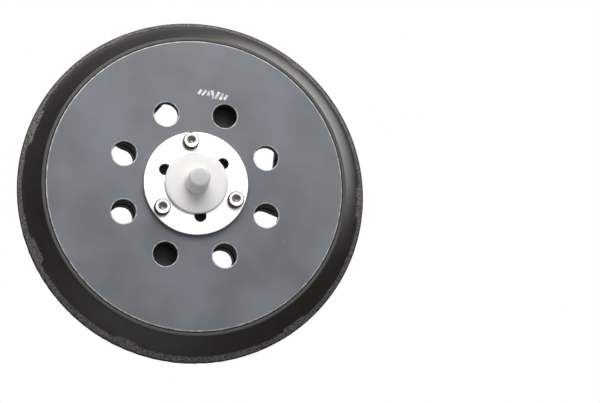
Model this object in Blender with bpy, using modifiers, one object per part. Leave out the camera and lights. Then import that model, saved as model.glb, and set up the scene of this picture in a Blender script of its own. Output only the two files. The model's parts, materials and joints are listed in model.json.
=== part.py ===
"""Backing pad of a random orbital sander, 150 mm across, for hook-and-loop discs.

The pad is built the way it comes apart on a bench: a hook-fabric face, a moulded
foam body, a stiff plastic backing plate, a steel hub disc held by three socket
screws in threaded inserts, a steel bush, and the centre screw with its washer
and the nylon nut that keeps the screw in the pad until it is fitted.

Each piece is modelled on the spindle axis: z runs towards the machine, z = 0 is
the seat face of the hub disc, and the first hub screw and the first pair of dust
holes lie on x. The spindle empty then stands the pad upright, with the machine
side towards world +Y, local x along world -X and local y along world +Z.
"""

import math

import bmesh
import bpy
from mathutils import Matrix, Vector

MM = 0.001
GAP = 0.3 * MM                      # clearance between neighbouring pieces
OVERCUT = 1.0 * MM                  # how far a cutter runs past the face it opens

# Driving dimensions
PAD_RADIUS = 75.0 * MM
PAD_HEIGHT = 15.0 * MM              # hook face to the plate's machine face
FABRIC_THICKNESS = 1.6 * MM
FABRIC_INSET = 0.2 * MM             # the fabric stops this far inside the foam's rim
EDGE_BAND_HEIGHT = 2.4 * MM         # scuffed band round the foam's rim
EDGE_BAND_INSET = 2.2 * MM
RIM_HEIGHT = 0.8 * MM               # upright part of the foam's rim, below the band
FLANK_HOLLOW = 1.35                 # more is a deeper hollow in the foam's flank
FLANK_STEPS = 5
FOAM_LIP_WIDTH = 1.6 * MM           # raised foam lip round the plate
FOAM_LIP_DROP = 0.4 * MM            # the lip stays this far below the plate's face
FOAM_LIP_HEIGHT = 1.6 * MM          # the lip above the flank's shoulder
FOAM_LIP_CHAMFER = 0.5 * MM
PLATE_RADIUS = 63.5 * MM
PLATE_THICKNESS = 4.0 * MM
PLATE_CHAMFER = 0.4 * MM
BOSS_RADIUS = 23.0 * MM             # thicker middle of the plate
BOSS_DEPTH = 3.0 * MM
HUB_RADIUS = 22.4 * MM
HUB_THICKNESS = 2.0 * MM
HUB_CHAMFER = 0.25 * MM

# Dust extraction
DUST_STEP = math.radians(45.0)
DUST_COUNT = 8
OUTER_CIRCLE = 60.0 * MM            # blind holes in the hook face
OUTER_HOLE_RADIUS = 4.5 * MM
PLATE_CIRCLE = 33.0 * MM            # holes in the plate
PLATE_HOLE_RADIUS = 5.25 * MM
PLATE_HOLE_CHAMFER = 0.4 * MM
CHANNEL_DEPTH = 6.0 * MM            # radial duct between the two circles
CHANNEL_END_RADIUS = 4.0 * MM       # narrow end of the duct, over an outer hole
SLOT_RADIUS = 5.0 * MM
SLOT_END_CIRCLE = 40.0 * MM
# Each slot runs from a plate hole (first angle) to its outer end (second angle).
SLOT_ANGLES = (
    (0.0, 0.0), (180.0, 180.0), (45.0, 60.0), (-45.0, -60.0), (135.0, 120.0), (-135.0, -120.0))

# Hub fasteners and drive holes
HUB_SCREW_CIRCLE = 18.25 * MM
HUB_SCREW_ANGLES = (0.0, 120.0, 240.0)
DRIVE_CIRCLE = 14.4 * MM
DRIVE_ANGLES = (60.0, 180.0, 300.0)
DRIVE_HOLE_RADIUS = 2.5 * MM
DRIVE_HOLE_DEPTH = 3.0 * MM         # below the plate's machine face
M4_SHANK_RADIUS = 1.9 * MM
M4_HEAD_RADIUS = 3.5 * MM
M4_HEAD_HEIGHT = 2.8 * MM
M4_LENGTH = 7.6 * MM
M4_KEY_WIDTH = 2.5 * MM
M4_SOCKET_DEPTH = 1.6 * MM
INSERT_RADIUS = 3.0 * MM
INSERT_WAIST_RADIUS = 2.75 * MM
INSERT_LENGTH = 5.2 * MM
INSERT_END = 1.2 * MM               # plain end on each side of the insert's waist
INSERT_TAPER = 0.3 * MM
HUB_SCREW_CLEARANCE = 0.36 * MM     # round the screws' shanks in the hub disc

# Centre screw, bush, washer and retaining nut
M6_SHANK_RADIUS = 3.0 * MM
M6_LENGTH = 20.0 * MM
M6_HEAD_RADIUS = 5.25 * MM
M6_HEAD_HEIGHT = 4.0 * MM
M6_KEY_WIDTH = 4.0 * MM
M6_SOCKET_DEPTH = 2.4 * MM
BUSH_RADIUS = 6.0 * MM
WASHER_RADIUS = 7.0 * MM
WASHER_THICKNESS = 1.5 * MM
WASHER_POCKET_RADIUS = 7.6 * MM
CENTRE_HOLE_RADIUS = 7.5 * MM
NUT_FLANGE_RADIUS = 13.5 * MM
NUT_FLANGE_HEIGHT = 2.0 * MM
NUT_LOWER_RADIUS = 5.0 * MM
NUT_UPPER_RADIUS = 4.6 * MM
NUT_STEP_HEIGHT = 6.5 * MM          # above the flange's underside
NUT_HEIGHT = 13.5 * MM
NUT_TIP_ROUND = 1.4 * MM
NUT_TIP_WALL = 1.5 * MM
NUT_CHAMFER = 0.4 * MM

# Heights on the spindle axis, from the hub's seat face down
SEAT_Z = 0.0
PLATE_TOP_Z = SEAT_Z - HUB_THICKNESS - GAP
PLATE_BOTTOM_Z = PLATE_TOP_Z - PLATE_THICKNESS
BOSS_BOTTOM_Z = PLATE_BOTTOM_Z - BOSS_DEPTH
HOOK_Z = PLATE_TOP_Z - PAD_HEIGHT
FABRIC_TOP_Z = HOOK_Z + FABRIC_THICKNESS
FOAM_BOTTOM_Z = FABRIC_TOP_Z + GAP
POCKET_Z = PLATE_BOTTOM_Z - GAP
CHANNEL_Z = POCKET_Z - CHANNEL_DEPTH
WASHER_TOP_Z = PLATE_BOTTOM_Z - GAP
HEAD_TOP_Z = WASHER_TOP_Z - WASHER_THICKNESS - GAP

# Facets round a full turn
FINE = 72
MEDIUM = 32
COARSE = 20


def principled(name, rgb, roughness, metallic=0.0):
    """A plain material with one colour."""
    material = bpy.data.materials.new(name)
    material.use_nodes = True
    shader = material.node_tree.nodes["Principled BSDF"]
    shader.inputs["Base Color"].default_value = (*rgb, 1.0)
    shader.inputs["Roughness"].default_value = roughness
    shader.inputs["Metallic"].default_value = metallic
    material.diffuse_color = (*rgb, 1.0)
    return material


def polar(radius, degrees, z=0.0):
    """A point given by its radius and its angle from x."""
    angle = math.radians(degrees)
    return Vector((radius * math.cos(angle), radius * math.sin(angle), z))


def arc(centre, radius, start, end, segments):
    """Profile points on a circular arc, angles in degrees."""
    points = []
    for index in range(segments + 1):
        angle = math.radians(start + (end - start) * index / segments)
        points.append((centre[0] + radius * math.cos(angle), centre[1] + radius * math.sin(angle)))
    return points


def hexagon_radius(width):
    """Corner radius of a hexagon with this width across its flats."""
    return width / math.sqrt(3.0)


class Workshop:
    """Makes objects on the spindle axis and keeps cutters apart from the pieces."""

    def __init__(self):
        self.pieces = bpy.data.collections.new("backing_pad")
        self.cutters = bpy.data.collections.new("cutters")
        for collection in (self.pieces, self.cutters):
            bpy.context.scene.collection.children.link(collection)
        self.spindle = bpy.data.objects.new("spindle_axis", None)
        self.spindle.rotation_euler = (math.pi / 2.0, 0.0, math.pi)
        self.pieces.objects.link(self.spindle)

    def place(self, name, mesh, location, material):
        """A piece or, with no material, a cutter, parented to the spindle axis."""
        thing = bpy.data.objects.new(name, mesh)
        thing.parent = self.spindle
        thing.location = location
        if material is None:
            thing.hide_render = True
            thing.display_type = "WIRE"
            self.cutters.objects.link(thing)
        else:
            mesh.materials.append(material)
            self.pieces.objects.link(thing)
        return thing

    def turned(self, name, profile, facets, material=None, location=(0.0, 0.0, 0.0), closed=True):
        """Turn a profile of (radius, z) points about z; it runs down its outer side."""
        mesh = bpy.data.meshes.new(name)
        points = [(radius, 0.0, z) for radius, z in profile]
        edges = [(index, index + 1) for index in range(len(points) - 1)]
        if closed:
            edges.append((len(points) - 1, 0))
        mesh.from_pydata(points, edges, [])
        thing = self.place(name, mesh, location, material)
        screw = thing.modifiers.new("turn", "SCREW")
        screw.axis = "Z"
        screw.steps = facets
        screw.render_steps = facets
        screw.use_merge_vertices = True
        screw.merge_threshold = 0.01 * MM
        screw.use_smooth_shade = True
        return thing

    def prism(self, name, sides, radius, low, high, location):
        """An upright prism or cylinder cutter between two heights."""
        mesh = bpy.data.meshes.new(name)
        shape = bmesh.new()
        bmesh.ops.create_cone(
            shape, cap_ends=True, segments=sides, radius1=radius, radius2=radius, depth=high - low,
            matrix=Matrix.Translation((0.0, 0.0, (low + high) / 2.0)))
        shape.to_mesh(mesh)
        shape.free()
        return self.place(name, mesh, location, None)

    def slot(self, name, ends, low, high):
        """A slot cutter: the hull of two upright cylinders, given as (centre, radius)."""
        mesh = bpy.data.meshes.new(name)
        shape = bmesh.new()
        for centre, radius in ends:
            for height in (low, high):
                spot = Matrix.Translation((centre.x, centre.y, height))
                bmesh.ops.create_circle(shape, segments=COARSE, radius=radius, matrix=spot)
        hull = bmesh.ops.convex_hull(shape, input=shape.verts)
        inside = [item for item in hull["geom_interior"] if isinstance(item, bmesh.types.BMVert)]
        bmesh.ops.delete(shape, geom=inside, context="VERTS")
        bmesh.ops.recalc_face_normals(shape, faces=shape.faces)
        shape.to_mesh(mesh)
        shape.free()
        return self.place(name, mesh, (0.0, 0.0, 0.0), None)


def cut(thing, cutter):
    """Take a cutter out of a piece."""
    boolean = thing.modifiers.new(cutter.name, "BOOLEAN")
    boolean.operation = "DIFFERENCE"
    boolean.solver = "EXACT"
    boolean.object = cutter


def dust_angles():
    """The eight directions of the dust channels, in degrees."""
    return [math.degrees(index * DUST_STEP) for index in range(DUST_COUNT)]


def slot_ends(first, last):
    """Both ends of a slot: at its plate hole, and further out."""
    return ((polar(PLATE_CIRCLE, first), SLOT_RADIUS), (polar(SLOT_END_CIRCLE, last), SLOT_RADIUS))


def cut_hook_pattern(workshop, thing, low, high, top_of_holes):
    """Open the outer dust holes and the six slots in one layer of the pad."""
    for index, angle in enumerate(dust_angles()):
        name = f"{thing.name}_outer_hole_{index + 1}"
        spot = polar(OUTER_CIRCLE, angle)
        cut(thing, workshop.prism(name, COARSE, OUTER_HOLE_RADIUS, low, top_of_holes, spot))
    for index, (first, last) in enumerate(SLOT_ANGLES):
        name = f"{thing.name}_slot_{index + 1}"
        cut(thing, workshop.slot(name, slot_ends(first, last), low, high))


def make_hook_face(workshop):
    """The hook fabric on the face that holds the abrasive disc."""
    material = principled("hook_fabric", (0.047, 0.040, 0.034), 0.95)
    outer = PAD_RADIUS - FABRIC_INSET
    profile = [(outer, FABRIC_TOP_Z), (outer, HOOK_Z), (CENTRE_HOLE_RADIUS, HOOK_Z),
               (CENTRE_HOLE_RADIUS, FABRIC_TOP_Z)]
    fabric = workshop.turned("hook_face", profile, FINE, material)
    low = HOOK_Z - OVERCUT
    high = FABRIC_TOP_Z + OVERCUT
    cut_hook_pattern(workshop, fabric, low, high, high)


def make_foam_pad(workshop):
    """The moulded foam, with a flared flank, a lip round the plate and dust channels."""
    material = principled("foam", (0.025, 0.022, 0.019), 0.7)
    lip_outer = PLATE_RADIUS + GAP + FOAM_LIP_WIDTH
    lip_inner = PLATE_RADIUS + GAP
    lip_z = PLATE_TOP_Z - FOAM_LIP_DROP
    band_top_z = FOAM_BOTTOM_Z + EDGE_BAND_HEIGHT
    band_radius = PAD_RADIUS - EDGE_BAND_INSET
    shoulder_z = lip_z - FOAM_LIP_HEIGHT
    # The flank is a shallow hollow between the rim band and the lip's shoulder.
    flank = []
    for index in range(FLANK_STEPS + 1):
        share = index / FLANK_STEPS
        radius = lip_outer + (band_radius - lip_outer) * share
        height = shoulder_z + (band_top_z - shoulder_z) * (1.0 - (1.0 - share) ** FLANK_HOLLOW)
        flank.append((radius, height))
    profile = [(lip_inner, lip_z), (lip_outer - FOAM_LIP_CHAMFER, lip_z), *flank,
               (PAD_RADIUS, FOAM_BOTTOM_Z + RIM_HEIGHT), (PAD_RADIUS, FOAM_BOTTOM_Z),
               (CENTRE_HOLE_RADIUS, FOAM_BOTTOM_Z), (CENTRE_HOLE_RADIUS, BOSS_BOTTOM_Z - GAP),
               (BOSS_RADIUS + GAP, BOSS_BOTTOM_Z - GAP), (BOSS_RADIUS + GAP, POCKET_Z),
               (lip_inner, POCKET_Z)]
    foam = workshop.turned("foam_pad", profile, FINE, material)
    for index, angle in enumerate(dust_angles()):
        ends = ((polar(PLATE_CIRCLE, angle), PLATE_HOLE_RADIUS + GAP),
                (polar(OUTER_CIRCLE, angle), CHANNEL_END_RADIUS))
        cut(foam, workshop.slot(f"dust_channel_{index + 1}", ends, CHANNEL_Z, POCKET_Z + OVERCUT))
    low = FOAM_BOTTOM_Z - OVERCUT
    high = POCKET_Z + 0.5 * OVERCUT    # not level with the channel cutters' top
    cut_hook_pattern(workshop, foam, low, high, CHANNEL_Z + OVERCUT)


def make_backing_plate(workshop):
    """The stiff plate that carries the hub, with its boss and dust holes."""
    material = principled("backing_plate", (0.16, 0.17, 0.19), 0.45)
    bush_bore = BUSH_RADIUS + GAP
    profile = [(PLATE_RADIUS - PLATE_CHAMFER, PLATE_TOP_Z), (PLATE_RADIUS, PLATE_TOP_Z - PLATE_CHAMFER),
               (PLATE_RADIUS, PLATE_BOTTOM_Z), (BOSS_RADIUS, PLATE_BOTTOM_Z),
               (BOSS_RADIUS, BOSS_BOTTOM_Z), (WASHER_POCKET_RADIUS, BOSS_BOTTOM_Z),
               (WASHER_POCKET_RADIUS, PLATE_BOTTOM_Z), (bush_bore, PLATE_BOTTOM_Z), (bush_bore, PLATE_TOP_Z)]
    plate = workshop.turned("backing_plate", profile, FINE, material)
    wide = PLATE_HOLE_RADIUS + PLATE_HOLE_CHAMFER
    top = PLATE_TOP_Z + OVERCUT
    under = PLATE_BOTTOM_Z - OVERCUT
    hole = [(0.0, top), (wide, top), (wide, PLATE_TOP_Z),
            (PLATE_HOLE_RADIUS, PLATE_TOP_Z - PLATE_HOLE_CHAMFER), (PLATE_HOLE_RADIUS, under), (0.0, under)]
    for index, angle in enumerate(dust_angles()):
        spot = polar(PLATE_CIRCLE, angle)
        name = f"plate_hole_{index + 1}"
        cut(plate, workshop.turned(name, hole, COARSE, location=spot, closed=False))
    blind_holes = [
        (HUB_SCREW_CIRCLE, HUB_SCREW_ANGLES, INSERT_RADIUS + GAP, INSERT_LENGTH + 2.0 * GAP, "insert_hole"),
        (DRIVE_CIRCLE, DRIVE_ANGLES, DRIVE_HOLE_RADIUS, DRIVE_HOLE_DEPTH, "plate_drive_hole")]
    for circle, angles, radius, depth, name in blind_holes:
        for index, angle in enumerate(angles):
            spot = polar(circle, angle)
            cut(plate, workshop.prism(f"{name}_{index + 1}", COARSE, radius, PLATE_TOP_Z - depth, top, spot))


def make_hub_disc(workshop):
    """The steel disc that seats on the machine's spindle flange."""
    material = principled("hub_steel", (0.86, 0.86, 0.83), 0.35, 0.9)
    bottom = SEAT_Z - HUB_THICKNESS
    profile = [(HUB_RADIUS - HUB_CHAMFER, SEAT_Z), (HUB_RADIUS, SEAT_Z - HUB_CHAMFER),
               (HUB_RADIUS, bottom + HUB_CHAMFER), (HUB_RADIUS - HUB_CHAMFER, bottom),
               (BUSH_RADIUS + GAP, bottom), (BUSH_RADIUS + GAP, SEAT_Z)]
    disc = workshop.turned("hub_disc", profile, FINE, material)
    holes = [(HUB_SCREW_CIRCLE, HUB_SCREW_ANGLES, M4_SHANK_RADIUS + HUB_SCREW_CLEARANCE, "hub_screw_hole"),
             (DRIVE_CIRCLE, DRIVE_ANGLES, DRIVE_HOLE_RADIUS, "hub_drive_hole")]
    for circle, angles, radius, name in holes:
        for index, angle in enumerate(angles):
            spot = polar(circle, angle)
            cut(disc, workshop.prism(f"{name}_{index + 1}", COARSE, radius, bottom - OVERCUT, OVERCUT, spot))


def socket_screw_profile(head_radius, head_height, shank_radius, length):
    """Half outline of a socket screw, its head up and its shank down from z = 0."""
    edge = 0.08 * head_radius
    tip = 0.2 * shank_radius
    return [(0.0, head_height), (head_radius - edge, head_height), (head_radius, head_height - edge),
            (head_radius, 0.0), (shank_radius, 0.0), (shank_radius, tip - length),
            (shank_radius - tip, -length), (0.0, -length)]


def make_hub_fasteners(workshop):
    """Three low-head socket screws and the threaded inserts that they hold in."""
    steel = principled("stainless_steel", (0.62, 0.61, 0.58), 0.3, 1.0)
    brass = principled("insert_brass", (0.55, 0.40, 0.16), 0.35, 1.0)
    outline = socket_screw_profile(M4_HEAD_RADIUS, M4_HEAD_HEIGHT, M4_SHANK_RADIUS, M4_LENGTH)
    socket_floor = M4_HEAD_HEIGHT - M4_SOCKET_DEPTH
    key_radius = hexagon_radius(M4_KEY_WIDTH)
    top = PLATE_TOP_Z - GAP
    bottom = top - INSERT_LENGTH
    bore = M4_SHANK_RADIUS + GAP
    waist = INSERT_END + INSERT_TAPER
    insert = [(INSERT_RADIUS, top), (INSERT_RADIUS, top - INSERT_END), (INSERT_WAIST_RADIUS, top - waist),
              (INSERT_WAIST_RADIUS, bottom + waist), (INSERT_RADIUS, bottom + INSERT_END),
              (INSERT_RADIUS, bottom), (bore, bottom), (bore, top)]
    for index, angle in enumerate(HUB_SCREW_ANGLES):
        spot = polar(HUB_SCREW_CIRCLE, angle, SEAT_Z + GAP)
        screw = workshop.turned(f"hub_screw_{index + 1}", outline, COARSE, steel, spot, closed=False)
        name = f"hub_key_{index + 1}"
        cut(screw, workshop.prism(name, 6, key_radius, socket_floor, M4_HEAD_HEIGHT + OVERCUT, spot))
        workshop.turned(f"hub_insert_{index + 1}", insert, COARSE, brass, polar(HUB_SCREW_CIRCLE, angle))


def make_centre_bush(workshop):
    """The steel sleeve that carries the centre screw's load through the plate."""
    material = principled("bush_steel", (0.50, 0.50, 0.50), 0.35, 1.0)
    bore = M6_SHANK_RADIUS + GAP
    profile = [(BUSH_RADIUS, SEAT_Z - GAP), (BUSH_RADIUS, PLATE_BOTTOM_Z), (bore, PLATE_BOTTOM_Z),
               (bore, SEAT_Z - GAP)]
    workshop.turned("centre_bush", profile, MEDIUM, material)


def make_centre_screw(workshop):
    """The black socket screw, its head in the hook face's recess, and its washer."""
    black = principled("black_oxide_steel", (0.10, 0.10, 0.09), 0.5, 0.8)
    plated = principled("plated_steel", (0.75, 0.75, 0.74), 0.25, 1.0)
    outline = socket_screw_profile(M6_HEAD_RADIUS, M6_HEAD_HEIGHT, M6_SHANK_RADIUS, M6_LENGTH)
    place = (0.0, 0.0, HEAD_TOP_Z)
    screw = workshop.turned("centre_screw", outline, MEDIUM, black, place, closed=False)
    screw.rotation_euler = (math.pi, 0.0, 0.0)
    key_top = HEAD_TOP_Z - M6_HEAD_HEIGHT + M6_SOCKET_DEPTH
    key_radius = hexagon_radius(M6_KEY_WIDTH)
    cut(screw, workshop.prism("centre_key", 6, key_radius, HOOK_Z, key_top, (0.0, 0.0, 0.0)))
    bore = M6_SHANK_RADIUS + GAP
    bottom = WASHER_TOP_Z - WASHER_THICKNESS
    ring = [(WASHER_RADIUS, WASHER_TOP_Z), (WASHER_RADIUS, bottom), (bore, bottom), (bore, WASHER_TOP_Z)]
    workshop.turned("screw_washer", ring, MEDIUM, plated)


def make_retaining_nut(workshop):
    """The nylon nut with a wide flange and a blind, stepped nipple."""
    nylon = principled("natural_nylon", (0.78, 0.79, 0.76), 0.4)
    bore = M6_SHANK_RADIUS + GAP
    bore_end = NUT_HEIGHT - NUT_TIP_WALL
    round_centre = (NUT_UPPER_RADIUS - NUT_TIP_ROUND, NUT_HEIGHT - NUT_TIP_ROUND)
    tip = arc(round_centre, NUT_TIP_ROUND, 90.0, 0.0, 4)
    profile = [(0.0, NUT_HEIGHT), *tip, (NUT_UPPER_RADIUS, NUT_STEP_HEIGHT),
               (NUT_LOWER_RADIUS, NUT_STEP_HEIGHT - NUT_CHAMFER), (NUT_LOWER_RADIUS, NUT_FLANGE_HEIGHT),
               (NUT_FLANGE_RADIUS - NUT_CHAMFER, NUT_FLANGE_HEIGHT),
               (NUT_FLANGE_RADIUS, NUT_FLANGE_HEIGHT - NUT_CHAMFER), (NUT_FLANGE_RADIUS, 0.0), (bore, 0.0),
               (bore, bore_end), (0.0, bore_end)]
    workshop.turned("retaining_nut", profile, MEDIUM, nylon, (0.0, 0.0, SEAT_Z + GAP), closed=False)


def main():
    """Clear the scene and build every piece of the pad."""
    for thing in list(bpy.data.objects):
        bpy.data.objects.remove(thing, do_unlink=True)
    workshop = Workshop()
    make_hook_face(workshop)
    make_foam_pad(workshop)
    make_backing_plate(workshop)
    make_hub_disc(workshop)
    make_hub_fasteners(workshop)
    make_centre_bush(workshop)
    make_centre_screw(workshop)
    make_retaining_nut(workshop)


main()
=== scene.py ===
"""The looks of a 150 mm random orbital sander backing pad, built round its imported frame.

Every piece is shaped on the spindle axis, with z towards the machine and z = 0 on the hub
disc's seat face, and is then turned into the row frame, where the machine side looks
towards +Y.
"""

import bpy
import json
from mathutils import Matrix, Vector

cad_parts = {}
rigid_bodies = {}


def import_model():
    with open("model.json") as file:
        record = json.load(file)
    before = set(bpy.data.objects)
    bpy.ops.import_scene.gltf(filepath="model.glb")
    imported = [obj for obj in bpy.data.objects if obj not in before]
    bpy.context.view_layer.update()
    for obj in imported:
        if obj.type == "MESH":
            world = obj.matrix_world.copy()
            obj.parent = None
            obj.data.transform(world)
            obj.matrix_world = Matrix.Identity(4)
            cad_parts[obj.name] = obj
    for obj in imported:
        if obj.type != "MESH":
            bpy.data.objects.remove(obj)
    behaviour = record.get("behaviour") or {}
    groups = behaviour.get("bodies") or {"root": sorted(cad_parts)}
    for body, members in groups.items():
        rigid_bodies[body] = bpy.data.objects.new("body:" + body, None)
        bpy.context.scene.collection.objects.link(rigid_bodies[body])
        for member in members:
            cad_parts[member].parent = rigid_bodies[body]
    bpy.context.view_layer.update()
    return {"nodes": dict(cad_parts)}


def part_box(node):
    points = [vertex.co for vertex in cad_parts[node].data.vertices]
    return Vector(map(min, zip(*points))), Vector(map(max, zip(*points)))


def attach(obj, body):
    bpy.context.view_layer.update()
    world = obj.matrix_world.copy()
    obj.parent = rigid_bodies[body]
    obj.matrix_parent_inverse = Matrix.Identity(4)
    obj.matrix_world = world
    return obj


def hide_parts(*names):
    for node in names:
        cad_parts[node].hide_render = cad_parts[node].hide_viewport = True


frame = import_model()

import json
import logging
import math
import random
from collections.abc import Callable, Iterable, Sequence
from dataclasses import dataclass, field
from enum import Enum

import bmesh
import bpy
from mathutils import Matrix, Vector, noise

MM = 0.001
MERGE = 0.001 * MM      # vertices nearer than this are one
OVER = 1.0 * MM         # how far a cutter reaches past what it cuts
SPINDLE = Matrix(((-1.0, 0.0, 0.0, 0.0),    # from the spindle's own axes to the row frame's
                  (0.0, 0.0, 1.0, 0.0),
                  (0.0, 1.0, 0.0, 0.0),
                  (0.0, 0.0, 0.0, 1.0)))
LOG = logging.getLogger("backing_pad")

Profile = Sequence[tuple[float, float]]
SlotEnds = Sequence[tuple[Vector, float]]


class Body(Enum):
    """The rigid bodies that pieces ride on."""

    PAD = "pad"
    WASHER = "washer"
    SCREW = "screw"
    NUT = "nut"


class Join(Enum):
    """How one closed shape is combined with others."""

    CUT = "DIFFERENCE"
    WELD = "UNION"


# --------------------------------------------------------------------------------------
# Small helpers


def linear(colour: str) -> tuple[float, float, float, float]:
    """Turn an sRGB hex colour into linear values.

    Args:
        colour: Six hex digits, such as "7f8a91".

    Returns:
        Linear red, green, blue and an alpha of 1.
    """
    channels = [int(colour[index:index + 2], 16) / 255.0 for index in (0, 2, 4)]
    values = [c / 12.92 if c <= 0.04045 else ((c + 0.055) / 1.055) ** 2.4 for c in channels]
    return (values[0], values[1], values[2], 1.0)


def polar(radius: float, degrees: float, z: float = 0.0) -> Vector:
    """A point given by its radius and its angle from the first hub screw."""
    angle = math.radians(degrees)
    return Vector((radius * math.cos(angle), radius * math.sin(angle), z))


def arc(centre: tuple[float, float], radius: float, start: float, end: float,
        segments: int) -> Profile:
    """Profile points on a circular arc.

    Args:
        centre: The arc's centre as (radius from the axis, z).
        radius: The arc's own radius.
        start: First angle in degrees, from the outward direction.
        end: Last angle in degrees.
        segments: Number of straight pieces.

    Returns:
        The points from start to end.
    """
    angles = [math.radians(start + (end - start) * index / segments) for index in range(segments + 1)]
    return [(centre[0] + radius * math.cos(a), centre[1] + radius * math.sin(a)) for a in angles]


def ease(low: float, high: float, value: float) -> float:
    """A smooth step from 0 at low to 1 at high."""
    share = min(1.0, max(0.0, (value - low) / (high - low)))
    return share * share * (3.0 - 2.0 * share)


@dataclass(frozen=True)
class Extent:
    """Where a turned node lies: both ends along the spindle axis, its radius and its centre."""

    low: float
    high: float
    radius: float
    centre: Vector

    @classmethod
    def of(cls, node: str) -> "Extent":
        """Read a node's extent from the frame.

        Args:
            node: Name of the CAD node.

        Returns:
            Its extent in spindle coordinates.
        """
        low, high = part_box(node)
        middle = (low + high) / 2.0
        return cls(low.y, high.y, (high.x - low.x) / 2.0, Vector((-middle.x, middle.z, 0.0)))


# --------------------------------------------------------------------------------------
# Shapes


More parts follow.
